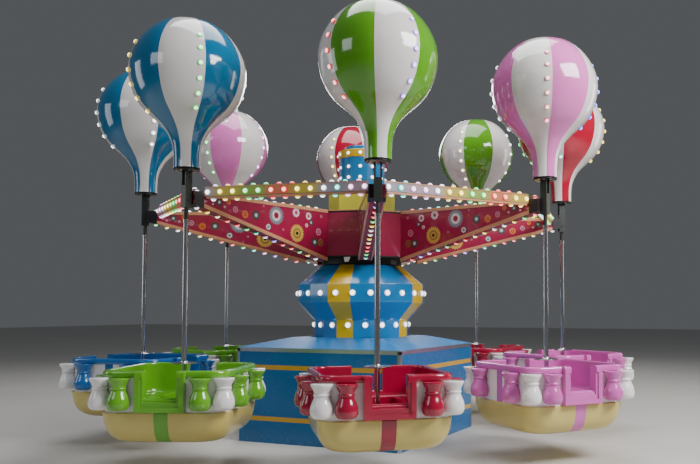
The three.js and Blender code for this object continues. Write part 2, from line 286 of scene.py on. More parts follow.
class Shape:
    def __init__(self):
        self.vertices = []
        self.faces = []
        self.slots = []
        self.materials = []
        self.tints = []

    def slot(self, material):
        if material not in self.materials:
            self.materials.append(material)
        return self.materials.index(material)

    def add(self, part, material, place=Matrix(), tints=()):
        # part is (vertices, faces); material is one finish, or one for each face
        vertices, faces = part
        self.tints += tints
        start = len(self.vertices)
        self.vertices += [place @ Vector(v) for v in vertices]
        self.faces += [[start + i for i in face] for face in faces]
        finishes = material if isinstance(material, list) else [material] * len(faces)
        self.slots += [self.slot(finish) for finish in finishes]
        return self

    def build(self, name, body, slot, smooth=25, bevel=0.0):
        # Edges sharper than smooth, in degrees, stay sharp; 0 leaves every face flat
        mesh = bpy.data.meshes.new(name)
        mesh.from_pydata(self.vertices, [], self.faces)
        for material in self.materials:
            mesh.materials.append(material)
        mesh.polygons.foreach_set("material_index", self.slots)
        mesh.polygons.foreach_set("use_smooth", [smooth > 0] * len(self.faces))
        if self.tints:
            tint = mesh.color_attributes.new("tint", "FLOAT_COLOR", "POINT")
            tint.data.foreach_set("color", [channel for colour in self.tints for channel in colour])
        mesh.update()
        if smooth > 0:
            mesh.set_sharp_from_angle(angle=math.radians(smooth))
        made = link(name, mesh)
        if bevel:
            rounding = made.modifiers.new("rounding", "BEVEL")
            rounding.width = bevel
            rounding.segments = BEVEL_SEGMENTS
            rounding.limit_method = "ANGLE"
            rounding.angle_limit = math.radians(BEVEL_ANGLE)
        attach(made, body)
        print(f"{name}: {len(self.faces)} faces on {body}")
        return made


def lathe(profile, steps, start=0.0):
    # Turns (radius, height) pairs round Z; a radius of 0 becomes a single point
    vertices = []
    rings = []
    for radius, height in profile:
        count = steps if radius else 1
        rings.append([len(vertices) + i for i in range(count)])
        for i in range(count):
            angle = math.radians(start + 360 * i / steps)
            vertices.append((radius * math.sin(angle), -radius * math.cos(angle), height))
    faces = []
    for low, up in zip(rings, rings[1:]):
        for i in range(steps):
            j = (i + 1) % steps
            ring = [low[i % len(low)], low[j % len(low)], up[j % len(up)], up[i % len(up)]]
            faces.append(list(dict.fromkeys(ring)))
    return vertices, faces


def box(x0, x1, y0, y1, z0, z1):
    vertices = [(x, y, z) for z in (z0, z1) for y in (y0, y1) for x in (x0, x1)]
    faces = [(0, 2, 3, 1), (4, 5, 7, 6), (0, 1, 5, 4), (1, 3, 7, 5), (3, 2, 6, 7), (2, 0, 4, 6)]
    return vertices, faces


def prism(outline, along0, along1, frame_of=lambda a, b, c: (a, b, c)):
    # A flat outline drawn in two directions and carried along the third
    count = len(outline)
    vertices = [frame_of(a, b, c) for c in (along0, along1) for a, b in outline]
    sides = [(i, (i + 1) % count, count + (i + 1) % count, count + i) for i in range(count)]
    return vertices, [tuple(reversed(range(count))), tuple(range(count, 2 * count)), *sides]


print("mesh helpers ready")

# %% [markdown]
# The lamps are cabochons: a ring on the panel and a faceted dome that glows. The dome's crown burns
# out to a pale core while its skirt keeps the colour, so the dome is two materials, not one.


# %% Lamps
LAMP_SIDES = 10
LAMP_DOME = [(0.030, 0.004), (0.0295, 0.010), (0.025, 0.019), (0.015, 0.026), (0.0, 0.028)]
LAMP_RING = [(0.0, 0.0), (0.035, 0.0), (0.035, 0.006), (0.030, 0.008)]
LAMP_COLOURS = {
    "white": "f4f6ff", "warm": "ffe9b0", "red": "ff3b3b", "rose": "e0707c", "yellow": "ffd92e",
    "green": "39e06a", "teal": "37dccb", "blue": "4a6cff", "violet": "a884ff", "lilac": "f0b8f0",
}
# (strength of the glow, share of white in it) for each part of a lamp
LAMP_GLOWS = {"crown": (3.2, 0.35), "skirt": (1.3, 0.12), "ring": (0.15, 0.0)}

LENS = {tone: [] for tone in LAMP_COLOURS}
for tone, code in LAMP_COLOURS.items():
    for part, (strength, whiteness) in LAMP_GLOWS.items():
        graph = Graph(f"lamp_{part}_{tone}")
        pale = (*[c + (1 - c) * whiteness for c in srgb(code)[:3]], 1.0)
        glow = graph.mottle(pale, graph.noise(140.0, 2.0), 1.0, 1.25)
        LENS[tone].append(graph.set(
            Base_Color=srgb(code), Roughness=0.12, Emission_Color=glow, Emission_Strength=strength,
        ))


def add_lamp(shape, place, colour, size=1.0):
    crown, skirt, ring = LENS[colour]
    place = place @ Matrix.Scale(size, 4)
    shape.add(lathe(LAMP_RING, LAMP_SIDES), ring, place)
    finishes = [band for band in (skirt, skirt, crown, crown) for _ in range(LAMP_SIDES)]
    shape.add(lathe(LAMP_DOME, LAMP_SIDES), finishes, place)


def facing(point, direction):
    # A place at the point whose +Z looks along the direction
    spin = Vector(direction).to_track_quat("Z", "Y").to_matrix().to_4x4()
    return Matrix.Translation(point) @ spin


print("lamp colours:", ", ".join(LENS))

# %% [markdown]
# The camera stands where the photographer stood, which a fit of the poles, collars and base corners
# gave. The floor is pale and plain. A strong soft lamp stands on the right, and weaker ones on the
# left, above and behind, so that each gelcoat has a broad highlight to show its polish. Two narrow
# strips at the sides draw bright lines down the chrome poles.

# %% Camera
CAMERA_DISTANCE = 11.517
CAMERA_HEIGHT = 1.784
CAMERA_AZIMUTH = 28.83
CAMERA_YAW = 5.71
CAMERA_PITCH = 2.76
FOCAL_PIXELS = 793.9
IMAGE_WIDTH = 700
SENSOR_WIDTH = 36.0
PRINCIPAL_RIGHT = 90.9
PRINCIPAL_DOWN = 38.0

lens_data = bpy.data.cameras.new("photo_camera")
lens_data.sensor_fit = "HORIZONTAL"
lens_data.sensor_width = SENSOR_WIDTH
lens_data.lens = FOCAL_PIXELS * SENSOR_WIDTH / IMAGE_WIDTH
lens_data.shift_x = -PRINCIPAL_RIGHT / IMAGE_WIDTH
lens_data.shift_y = PRINCIPAL_DOWN / IMAGE_WIDTH
camera = link("photo_camera", lens_data)
azimuth = math.radians(CAMERA_AZIMUTH)
heading = math.radians(CAMERA_AZIMUTH - CAMERA_YAW)
pitch = math.radians(CAMERA_PITCH)
camera.location = (
    CAMERA_DISTANCE * math.sin(azimuth),
    -CAMERA_DISTANCE * math.cos(azimuth),
    CAMERA_HEIGHT,
)
level = math.cos(pitch)
forward = Vector((-math.sin(heading) * level, math.cos(heading) * level, math.sin(pitch)))
camera.rotation_euler = forward.to_track_quat("-Z", "Y").to_euler()
bpy.context.scene.camera = camera
print(f"camera lens {lens_data.lens:.2f} mm")

# %% Floor and light
FLOOR_HALF = 60.0
WORLD_STRENGTH = 0.19
# (name, distance, plan angle from the camera's, height, height aimed at, width and depth, power, tint)
LIGHTS = [
    ("right_softbox", 9.5, 46, 7.6, 2.4, (4.5, 4), 1450, "ffffff"),
    ("left_softbox", 13, -48, 7.0, 2.4, (4, 4), 180, "f4f7ff"),
    ("top_softbox", 0, 0, 13, 0, (8, 8), 1100, "ffffff"),
    ("back_softbox", 14, 180, 8, 3, (6, 3), 500, "ffffff"),
    ("left_strip", 12, -84, 4.2, 2.6, (3, 5), 130, "f8faff"),
    ("right_strip", 12, 104, 4.2, 2.6, (2, 5), 130, "fff6ea"),
]

graph = Graph("pale_floor")
speck = graph.noise(18.0, 6.0, 0.7)
pale_floor = graph.set(
    Base_Color=graph.mix(graph.noise(0.35, 5.0), srgb("bdbbb6"), srgb("c9c7c2")),
    Roughness=0.42 + speck * 0.2,
    Normal=graph.bump(speck, 0.002, 0.1),
)
floor_mesh = bpy.data.meshes.new("floor")
corners = [(x * FLOOR_HALF, y * FLOOR_HALF, 0) for x, y in ((-1, -1), (1, -1), (1, 1), (-1, 1))]
floor_mesh.from_pydata(corners, [], [(0, 1, 2, 3)])
floor_mesh.materials.append(pale_floor)
floor = link("floor", floor_mesh)

world = bpy.data.worlds.new("soft_studio")
world.use_nodes = True
backdrop = world.node_tree.nodes["Background"].inputs
backdrop["Color"].default_value = srgb("b9bdc2")
backdrop["Strength"].default_value = WORLD_STRENGTH
bpy.context.scene.world = world

for name, distance, angle, height, aim, size, power, tint in LIGHTS:
    data = bpy.data.lights.new(name, "AREA")
    data.shape = "RECTANGLE"
    data.size, data.size_y = size
    data.energy = power
    data.color = srgb(tint)[:3]
    light = link(name, data)
    light.location = turn(CAMERA_AZIMUTH + angle) @ Vector((0, -distance, height))
    light.rotation_euler = (Vector((0, 0, aim)) - light.location).to_track_quat("-Z", "Y").to_euler()
print("lights:", len(LIGHTS))

# %% [markdown]
# ## The base
#
# Four blue sheet panels with two yellow lines round them, aluminium angle on the corners and the top
# edge, and a hipped blue cover. The frame's own housing is right, so it only gets its paint. The lines
# are a height test in that paint, and the edging is real angle, because it catches the light.

# %% Base paint with its yellow lines
_, BASE_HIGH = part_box("base_housing")
BASE_HALF = BASE_HIGH.x
LINE_HEIGHTS = [(0.29, 0.35), (0.97, 1.03)]
DIRT_HEIGHT = 0.08


def dress(node, material):
    # Gives a frame part its finish; its shape stays as it is
    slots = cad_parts[node].data.materials
    slots.clear()
    slots.append(material)


graph = Graph("striped_base_paint")
height = graph.node("ShaderNodeSeparateXYZ", None, (graph.place(),), output="Z")
scuffs = graph.noise(30.0, 8.0, 0.75).above(0.62, 0.06)
paint = graph.mottle(srgb("0a629e"), graph.noise(0.9, 4.0), 0.8, 1.15)
for low, high in LINE_HEIGHTS:
    paint = graph.mix(height.between(low, high), paint, srgb("c99c30"))
low_dirt = (1 - height.above(DIRT_HEIGHT, DIRT_HEIGHT)) * 0.35
base_paint = graph.set(
    Base_Color=graph.mix(scuffs * 0.03 + low_dirt * scuffs, paint, srgb("8d8a84")),
    Roughness=0.24 + scuffs * 0.18,
    Normal=graph.bump(graph.noise(1.6, 1.0), 0.03, 0.3),
    Coat_Weight=0.15,
    Coat_Roughness=0.1,
)
dress("base_housing", base_paint)
dress("base_top", sheet_paint("hipped_cover_paint", "1a78bc", 0.42, 0.02, 0.0))
dress("base_floor", BLACK_STEEL)
dress("outer_column", BLACK_STEEL)
print("base dressed:", [round(v, 3) for v in BASE_HIGH])

# %% Aluminium edging on the base
EDGE_WIDTH, EDGE_PROUD, EDGE_LIFT = 0.040, 0.002, 0.014
ANGLE_OUTLINE = [
    (0, 0), (EDGE_WIDTH, 0), (EDGE_WIDTH, EDGE_PROUD), (EDGE_PROUD, EDGE_PROUD), (EDGE_PROUD, EDGE_WIDTH),
    (0, EDGE_WIDTH),
]

edging = Shape()
reach = BASE_HALF + EDGE_PROUD
top = BASE_HIGH.z
leg = prism([(x - reach, y - reach) for x, y in ANGLE_OUTLINE], 0.0, top)
rail = box(-reach, reach, -reach, EDGE_PROUD - reach, top - EDGE_WIDTH, top + EDGE_LIFT)
for quarter in range(4):
    edging.add(leg, ALUMINIUM, turn(90 * quarter))
    edging.add(rail, ALUMINIUM, turn(90 * quarter))
edging.build("base_edging", "base", "silver_steel", smooth=0)

# %% [markdown]
# ## The barrel
#
# Eighteen flat staves, four of them yellow. Each stave is drawn with its own narrow rounded edges, which
# is where a moulded shell shows that it isn't folded sheet. A ring of lamps runs round the belly and a
# second one round the foot.

# %% Barrel shell
BARREL_SIDES = 18
BARREL_TURN = -0.7
STAVE = 360 / BARREL_SIDES
BARREL_OUTLINE = [
    (0.680, 1.3845), (0.680, 1.624), (0.910, 1.867), (0.910, 2.117), (0.580, 2.390), (0.540, 2.390),
]
BARREL_EASE = 0.012
YELLOW_STAVES = (0, 4, 9, 13)      # as near to quarters as eighteen staves allow


def eased(points, radius):
    # Rounds the inner corners of an outline, given as (radius, height) pairs
    out = [points[0]]
    for before, here, after in zip(points, points[1:], points[2:]):
        here = Vector(here)
        start, end = [here + (Vector(other) - here).normalized() * radius for other in (before, after)]
        out += [tuple(start), tuple((start + end + 2 * here) / 4), tuple(end)]
    return [*out, points[-1]]


part = lathe(eased(BARREL_OUTLINE, BARREL_EASE), BARREL_SIDES, BARREL_TURN)
staves = [index % BARREL_SIDES for index in range(len(part[1]))]
shape = Shape().add(part, [YELLOW_GELCOAT if stave in YELLOW_STAVES else BLUE_GELCOAT for stave in staves])
shell = shape.build("barrel_staves", "base", "blue_shell", smooth=14, bevel=0.006)
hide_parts("barrel_shell")

# %% Barrel lamps
# (number of lamps, plan angle of the first, corner radius of the barrel there, height)
BARREL_RINGS = [(24, 6.3, 0.910, 1.992), (18, 13.2, 0.680, 1.555)]
BARREL_LAMP_SIZE = 1.25


def stave_reach(corner_radius, angle):
    # How far a flat stave stands from the axis at this plan angle
    off = math.radians((angle - BARREL_TURN) % STAVE - STAVE / 2)
    return corner_radius * math.cos(math.radians(STAVE / 2)) / math.cos(off)


def lamp_ring(shape, ring, size, reach=lambda radius, angle: radius):
    # White lamps round a wall; reach says how far it stands from the axis at a plan angle
    count, first, radius, height = ring
    for i in range(count):
        angle = first + 360 * i / count
        out = turn(angle) @ Vector((0, -1, 0))
        spot = out * reach(radius, angle) + Vector((0, 0, height))
        add_lamp(shape, facing(spot, out), "white", size)


barrel_lamps = Shape()
for ring in BARREL_RINGS:
    lamp_ring(barrel_lamps, ring, BARREL_LAMP_SIZE, stave_reach)
barrel_lamps.build("barrel_lamps", "base", "blue_shell")

# %% [markdown]
# ## Column and turntable
#
# The sliding column shows only when the ride is up, and the turntable is the black disc in the gap
# under the hub.

# %% Column and turntable finishes
dress("lift_column", ALUMINIUM)
dress("turntable", BLACK_STEEL)

# %% [markdown]
# ## The hub and its crown
#
# A crimson drum between the arms with a copper coloured rail round its top, an eight-sided yellow
# casing on it, and a blue drum with a yellow ring and a cap. A small tapered lug hangs under one side.

# %% Hub finishes
dress("hub_core", BLACK_STEEL)
# A lighter copy of the arms' crimson paint: painted light from the arm lamps that shine on the drum
dress("hub_drum", gelcoat("hub_crimson_painted_lamp_light", "981c44", 0.2))
dress("hub_fascia", CASING_YELLOW)

# %% Hub trim and lug
ARM_HALF = 0.090
ARM_ROOT = 0.795
HALF_STEP = math.radians(STEP / 2)
HUB_FACE = ARM_ROOT * math.cos(HALF_STEP) + ARM_HALF * math.sin(HALF_STEP)
HUB_FACE_HALF = ARM_ROOT * math.sin(HALF_STEP) - ARM_HALF * math.cos(HALF_STEP)
HUB_BOTTOM, HUB_TOP = 2.4785, 3.105
RAIL_PROUD, RAIL_DEEP, RAIL_HIGH = 0.006, 0.030, 0.016
LUG_OUTLINE = [(0.010, 0.0), (0.023, -0.066), (0.069, -0.066), (0.103, 0.0)]
LUG_INSIDE, LUG_OUTSIDE = HUB_FACE - 0.030, HUB_FACE - 0.004
LUG_SIDE = SEATS - 1               # between the last arm and the first one


def between_arms(seat):
    return turn(arm_angle(seat) + STEP / 2)


back, front = RAIL_DEEP - HUB_FACE, -HUB_FACE - RAIL_PROUD
rail = box(-HUB_FACE_HALF, HUB_FACE_HALF, front, back, HUB_TOP, HUB_TOP + RAIL_HIGH)
lug = prism(LUG_OUTLINE, LUG_INSIDE, LUG_OUTSIDE, lambda a, b, c: (a, -c, HUB_BOTTOM + b))
hub_trim = Shape()
for seat in range(SEATS):
    hub_trim.add(rail, COPPER_TRIM, between_arms(seat))
hub_trim.add(lug, WHITE_GELCOAT, between_arms(LUG_SIDE))
hub_trim.build("hub_trim", "head", "cream_paint", smooth=0, bevel=0.003)

# %% Crown
CROWN_STEPS = 64
CROWN_LAMP_SIZE = 0.78
CROWN_OUTLINE = [
    (0.330, 3.440), (0.330, 3.930), (0.338, 3.932), (0.340, 3.938), (0.340, 4.034), (0.336, 4.040),
    (0.262, 4.042), (0.252, 4.044), (0.250, 4.050), (0.250, 4.104), (0.246, 4.109), (0.0, 4.110),
]
YELLOW_BANDS = range(1, 6)         # the rows of faces that make the yellow ring
CROWN_RINGS = [(12, 24.2, 0.330, 3.640), (12, 24.2, 0.330, 3.793), (12, 24.2, 0.340, 3.985)]

part = lathe(CROWN_OUTLINE, CROWN_STEPS)
bands = [index // CROWN_STEPS for index in range(len(part[1]))]
shape = Shape().add(part, [YELLOW_GELCOAT if band in YELLOW_BANDS else BLUE_GELCOAT for band in bands])
for ring in CROWN_RINGS:
    lamp_ring(shape, ring, CROWN_LAMP_SIZE)
top = shape.build("crown_drum", "head", "blue_paint")
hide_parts("crown")

# %% [markdown]
# ## The arms
#
# Each arm is a tapered box beam in crimson printed sheet, plain underneath. Its top and bottom edges
# carry a copper coloured trim, a dark socket holds its tip to the mast, and lamps hang in a row under
# it and stand in a row on top.

# %% Arm sizes
MAST_HALF = 0.044
ARM_TIP = MAST_RADIUS - MAST_HALF
ARM_TOP = 3.120
ARM_ROOT_BOTTOM = 2.432
ARM_TIP_BOTTOM = 2.985
ARM_SLOPE = (ARM_TIP_BOTTOM - ARM_ROOT_BOTTOM) / (ARM_TIP - ARM_ROOT)
TRIM_HEIGHT, TRIM_PROUD, TRIM_DEEP, TRIM_LIP = 0.040, 0.006, 0.014, 0.004
SOCKET_ROOT = 2.828                # the dark socket between the rim beams and the mast
SOCKET_PROUD, SOCKET_LIP = 0.010, 0.008


def arm_bottom(radius):
    return ARM_ROOT_BOTTOM + ARM_SLOPE * (radius - ARM_ROOT)


def arm_top(_):
    return ARM_TOP


# %% Arm panels and trims
def strip(root, low, drop, high, lift):
    # A strip along the arm from a root to the tip, between two edges that are moved a little
    ends = (root, ARM_TIP)
    return [*[(r, low(r) + drop) for r in ends], *[(r, high(r) + lift) for r in reversed(ends)]]


def along_arm(r, z, x):
    return (x, -r, z)


side = strip(ARM_ROOT, arm_bottom, 0, arm_top, 0)
lower = strip(ARM_ROOT, arm_bottom, -TRIM_LIP, arm_bottom, TRIM_HEIGHT)
upper = strip(ARM_ROOT, arm_top, -TRIM_HEIGHT, arm_top, TRIM_LIP)
socket = strip(SOCKET_ROOT, arm_bottom, -SOCKET_LIP, arm_top, SOCKET_LIP)
finishes = [CRIMSON_PANEL, CRIMSON_PANEL, CRIMSON_UNDERSIDE, *[CRIMSON_PANEL] * 3]
arms = Shape()
for seat in range(SEATS):
    place = turn(arm_angle(seat))
    arms.add(prism(side, -ARM_HALF, ARM_HALF, along_arm), finishes, place)
    reach = ARM_HALF + TRIM_PROUD
    for outline in (lower, upper):
        for near, far in ((-reach, TRIM_DEEP - ARM_HALF), (ARM_HALF - TRIM_DEEP, reach)):
            arms.add(prism(outline, near, far, along_arm), COPPER_TRIM, place)
    reach = ARM_HALF + SOCKET_PROUD
    arms.add(prism(socket, -reach, reach, along_arm), SOCKET_PAINT, place)
arm_object = arms.build("arm_panels", "head", "maroon_paint", smooth=0, bevel=0.003)
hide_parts(*[f"arm_{seat + 1}" for seat in range(SEATS)])

# %% Masts with necks, cheeks and collars
MAST_BOTTOM, MAST_BLOCK_TOP, MAST_TOP = 2.930, 3.190, 3.360
MAST_CHEEK = 0.018
NECK_BOTTOM = 2.800
NECK_OUTLINE = [(0.0, NECK_BOTTOM), (0.023, NECK_BOTTOM), (0.025, NECK_BOTTOM + 0.003), (0.025, MAST_BOTTOM)]
BOLT_OUTLINE = [(0.0, 0.0), (0.012, 0.0), (0.012, 0.006), (0.009, 0.009), (0.0, 0.009)]
COLLAR_BOLTS, COLLAR_BOLT_REACH, COLLAR_BOLT_SUNK = 8, 0.105, 0.002
CHEEK_BOLT_HEIGHTS = (3.02, 3.28)


def disc_rim(radius, low, high, ease=0.002):
    return [(radius - ease, low), (radius, low + ease), (radius, high - ease), (radius - ease, high)]


# Two plates with a narrow groove between them
COLLAR_OUTLINE = [
    (0.0, MAST_TOP - 0.001), *disc_rim(0.145, MAST_TOP - 0.001, MAST_TOP + 0.010), (0.130, MAST_TOP + 0.011),
    (0.130, MAST_TOP + 0.014), *disc_rim(0.145, MAST_TOP + 0.015, MAST_TOP + 0.025), (0.0, MAST_TOP + 0.025),
]

posts = Shape()
bolts = Shape()
half = MAST_HALF
for seat in range(SEATS):
    place = at_mast(seat, arm_angle(seat))
    posts.add(box(-half, half, -half, half, MAST_BOTTOM, MAST_BLOCK_TOP), MAST_GREY, place)
    for x in (-half, half - MAST_CHEEK):
        posts.add(box(x, x + MAST_CHEEK, -half, half, MAST_BLOCK_TOP, MAST_TOP), MAST_GREY, place)
    posts.add(lathe(NECK_OUTLINE, 32), MAST_GREY, place)
    posts.add(lathe(COLLAR_OUTLINE, 48), BLACK_STEEL, place)
    for i in range(COLLAR_BOLTS):
        under = Vector((0, -COLLAR_BOLT_REACH, MAST_TOP - COLLAR_BOLT_SUNK))
        spot = turn(360 * (i + 0.5) / COLLAR_BOLTS) @ under
        bolts.add(lathe(BOLT_OUTLINE, 6), BOLT_STEEL, place @ facing(spot, (0, 0, -1)))
    for side in (-1, 1):
        for height in CHEEK_BOLT_HEIGHTS:
            spot = Vector((side * half, 0.0, height))
            bolts.add(lathe(BOLT_OUTLINE, 6), BLACK_STEEL, place @ facing(spot, (side, 0, 0)))
posts.build("mast_posts", "head", "dark_steel", smooth=30, bevel=0.003)
bolts.build("mast_bolts", "head", "silver_steel", smooth=30)

# %% [markdown]
# ## The flower print
#
# The sheet on the arms is printed with rings and sunflowers. A print in the paint would need hundreds
# of nodes, so each flower is cut as a thin layered disc instead, like a sticker: it stays sharp at any
# distance, and its colours are a handful of inks.

# %% Flower inks
INK_CODES = {
    "grey": "76808a", "pale": "d9cfd2", "green": "2f4436", "orange": "d2762f", "gold": "c8a448",
    "pink": "d38aa4", "crimson": "8a1434", "dark": "1d2420", "olive": "8c6a3a",
}
PRINT_PROUD = 0.0006
PETAL_WAVE = 0.10

INKS = {}
for tone, code in INK_CODES.items():
    graph = Graph(f"ink_{tone}")
    grain = graph.noise(220.0, 3.0)
    INKS[tone] = graph.set(
        Base_Color=graph.mottle(srgb(code), grain, 0.85, 1.15),
        Roughness=0.22 + grain * 0.1,
        Coat_Weight=0.5,
        Coat_Roughness=0.08,
    )


def flower(shape, place, radius, petals, inks):
    # Layers from the largest petals to the round eye, each a hair above the last
    steps = max(18, petals * 4)
    faces = [(i, (i + 1) % steps, steps) for i in range(steps)]
    for layer, (share, tone) in enumerate(inks, 1):
        wave = PETAL_WAVE if layer < len(inks) else 0.0
        ring = []
        for i in range(steps):
            angle = 2 * math.pi * i / steps
            reach = radius * share * (1 + wave * math.cos(petals * angle))
            ring.append((reach * math.cos(angle), reach * math.sin(angle), PRINT_PROUD * layer))
        ring.append((0, 0, PRINT_PROUD * layer))
        shape.add((ring, faces), INKS[tone], place)


# %% Flower print on both sides of each arm
BIG_GREY = [(1.0, "grey"), (0.62, "pale"), (0.34, "crimson")]
SUNFLOWER = [(1.0, "gold"), (0.60, "olive"), (0.40, "gold"), (0.20, "dark")]
GREEN_RING = [(1.0, "green"), (0.58, "grey"), (0.34, "pale")]
PINK_RING = [(1.0, "pink"), (0.70, "crimson"), (0.42, "pink"), (0.18, "crimson")]
WHITE_RING = [(1.0, "pale"), (0.58, "pink"), (0.32, "crimson")]
ORANGE_RING = [(1.0, "orange"), (0.50, "crimson"), (0.30, "orange")]
SLATE_RING = [(1.0, "green"), (0.80, "pale"), (0.46, "grey")]
BROWN_RING = [(1.0, "olive"), (0.64, "crimson"), (0.36, "olive")]
# (distance from the ride's axis, height, radius, petals, layers)
FLOWERS = [
    (1.72, 2.960, 0.114, 22, BIG_GREY), (1.36, 2.760, 0.112, 20, SUNFLOWER),
    (2.05, 2.931, 0.054, 12, GREEN_RING), (2.22, 2.925, 0.047, 12, ORANGE_RING),
    (2.37, 2.970, 0.036, 10, PINK_RING), (1.85, 2.803, 0.045, 12, SLATE_RING),
    (1.38, 3.029, 0.057, 9, WHITE_RING), (1.155, 3.003, 0.047, 10, WHITE_RING),
    (1.11, 2.922, 0.037, 9, GREEN_RING), (1.19, 2.878, 0.025, 8, WHITE_RING),
    (0.97, 2.809, 0.046, 10, PINK_RING), (1.04, 2.666, 0.056, 12, GREEN_RING),
    (0.93, 2.668, 0.048, 11, BROWN_RING), (0.92, 3.022, 0.021, 7, PINK_RING),
    (1.60, 2.789, 0.015, 6, PINK_RING), (1.93, 3.060, 0.014, 6, PINK_RING),
    (2.47, 3.048, 0.030, 9, ORANGE_RING), (2.61, 3.030, 0.042, 11, GREEN_RING),
    (2.53, 2.985, 0.014, 6, WHITE_RING), (2.70, 3.000, 0.014, 6, WHITE_RING),
]

arm_print = Shape()
for seat in range(SEATS):
    for side in (-1, 1):
        for radius, height, size, petals, inks in FLOWERS:
            spot = Vector((side * ARM_HALF, -radius, height))
            flower(arm_print, turn(arm_angle(seat)) @ facing(spot, (side, 0, 0)), size, petals, inks)
arm_print.build("arm_flower_print", "head", "maroon_paint", smooth=0)

# %% Lamps along the arms
ARM_LAMPS = 14
ARM_LAMP_FIRST, ARM_LAMP_LAST = 0.93, 2.86
RUN_COLOURS = "lilac violet red red green yellow white white yellow warm red red green teal".split()
RUN_SHIFT = 3                      # how far the colours have run on from one arm to the next

arm_lamps = Shape()
down = Vector((0, ARM_SLOPE, -1)).normalized()
for seat in range(SEATS):
    place = turn(arm_angle(seat))
    for i in range(ARM_LAMPS):
        radius = ARM_LAMP_LAST + (ARM_LAMP_FIRST - ARM_LAMP_LAST) * i / (ARM_LAMPS - 1)
        colour = RUN_COLOURS[(i + RUN_SHIFT * seat) % len(RUN_COLOURS)]
        low = Vector((0, -radius, arm_bottom(radius) - TRIM_LIP))
        add_lamp(arm_lamps, place @ facing(low, down), colour)
        add_lamp(arm_lamps, place @ facing((0, -radius, ARM_TOP + TRIM_LIP), (0, 0, 1)), colour)
arm_lamps.build("arm_lamps", "head", "cream_paint")

# %% [markdown]
# ## The rim beams
#
# Eight straight beams between the arms close an octagon just inside the masts. Each carries a row of
# lamps on its outer face, one on top and one underneath, with a thin copper lip along its lower edge.
# Its cream paint carries painted lamp light: it is coloured, and glows faintly, in the colour of the lamps
# next to it.

# %% Rim sizes and the colours of its lamps
RIM_BOTTOM, RIM_TOP = 3.076, 3.185
RIM_LIP_BOTTOM = 3.050
RIM_OUTER = 2.640
RIM_INNER = RIM_OUTER - 0.060
RIM_LAMPS = 13
RIM_LAMP_SPREAD = 0.955
RIM_UNDER_SHARE = 0.94             # the row underneath is a little shorter
RIM_LAMP_HEIGHT = 3.124
RIM_COLOURS = "white yellow yellow green green red red yellow yellow white teal lilac lilac".split()
RUN_ON = 9                         # how far the colours have run on from one beam to the next
# Painted lamp light: the colour that each lamp colour throws on the cream beam
PAINTED_LAMP_LIGHT = {
    "yellow": "9a8c14", "green": "6e861c", "red": "a8522a", "white": "857c88", "teal": "747a86",
    "lilac": "8c7682",
}

# (outer face, inner face, bottom, top, finish) of the strips along a beam
RIM_STRIPS = [
    (RIM_OUTER + 0.006, RIM_INNER, RIM_LIP_BOTTOM, RIM_BOTTOM - 0.006, COPPER_TRIM),
    (RIM_OUTER - 0.004, RIM_INNER, RIM_BOTTOM - 0.008, RIM_BOTTOM, BLACK_STEEL),
    (RIM_OUTER + 0.006, RIM_OUTER, RIM_TOP - 0.008, RIM_TOP + 0.002, COPPER_TRIM),
]
RIM_STRIP_GAP = 0.002

# %% Cream paint with painted lamp light in the colour of the lamps on it, which each point of the beam holds
graph = Graph("cream_with_painted_lamp_light")
tint = graph.node("ShaderNodeVertexColor", {"layer_name": "tint"})
haze = graph.noise(14.0, 3.0)
# The beam's colour is mostly painted lamp light, and its glow is painted lamp light too, though the beam is
# no lamp
CREAM_AND_PAINTED_LAMP_LIGHT = graph.set(
    Base_Color=graph.mix(haze * 0.2, tint, srgb("b5a78c")),
    Roughness=0.3 + haze * 0.1,
    Emission_Color=tint,
    Emission_Strength=0.35,
)


def rim_colour(seat, i):
    return RIM_COLOURS[(i + RUN_ON * ((seat + 1) % SEATS)) % RIM_LAMPS]


def painted_lamp_light_at(seat, share):
    # The painted lamp light at a place along the beam, from 0 at one end to 1 at the other, between its two
    # lamps
    spot = min(max(share, 0.0), 1.0) * (RIM_LAMPS - 1)
    first = min(int(spot), RIM_LAMPS - 2)
    part = spot - first
    part = part * part * (3 - 2 * part)
    here, there = [srgb(PAINTED_LAMP_LIGHT[rim_colour(seat, i)]) for i in (first, first + 1)]
    return [a + (b - a) * part for a, b in zip(here, there)]


def rim_half(reach):
    # Half the length of the beam where it meets the arms, at a distance from the ride's axis
    return reach * math.tan(HALF_STEP) - ARM_HALF / math.cos(HALF_STEP)


def rim_beam(shape, seat, place):
    # Rings round the beam, two to each lamp, so that the painted lamp light runs from one lamp's colour into
    # the next
    rings = 2 * RIM_LAMPS
    vertices, tints, faces = [], [], []
    corners = [(RIM_OUTER, RIM_BOTTOM), (RIM_OUTER, RIM_TOP), (RIM_INNER, RIM_TOP), (RIM_INNER, RIM_BOTTOM)]
    for i in range(rings + 1):
        along = 2 * i / rings - 1
        colour = painted_lamp_light_at(seat, (along * rim_half(RIM_OUTER) / RIM_LAMP_SPREAD + 1) / 2)
        for reach, z in corners:
            vertices.append((along * rim_half(reach), -reach, z))
            tints.append(colour)
    for i in range(rings):
        low = 4 * i
        for a, b in ((0, 1), (1, 2), (2, 3), (3, 0)):
            faces.append((low + a, low + 4 + a, low + 4 + b, low + b))
    faces += [(0, 1, 2, 3), tuple(4 * rings + k for k in (3, 2, 1, 0))]
    shape.add((vertices, faces), CREAM_AND_PAINTED_LAMP_LIGHT, place, tints)


print("rim beam half length:", round(rim_half(RIM_OUTER), 3))

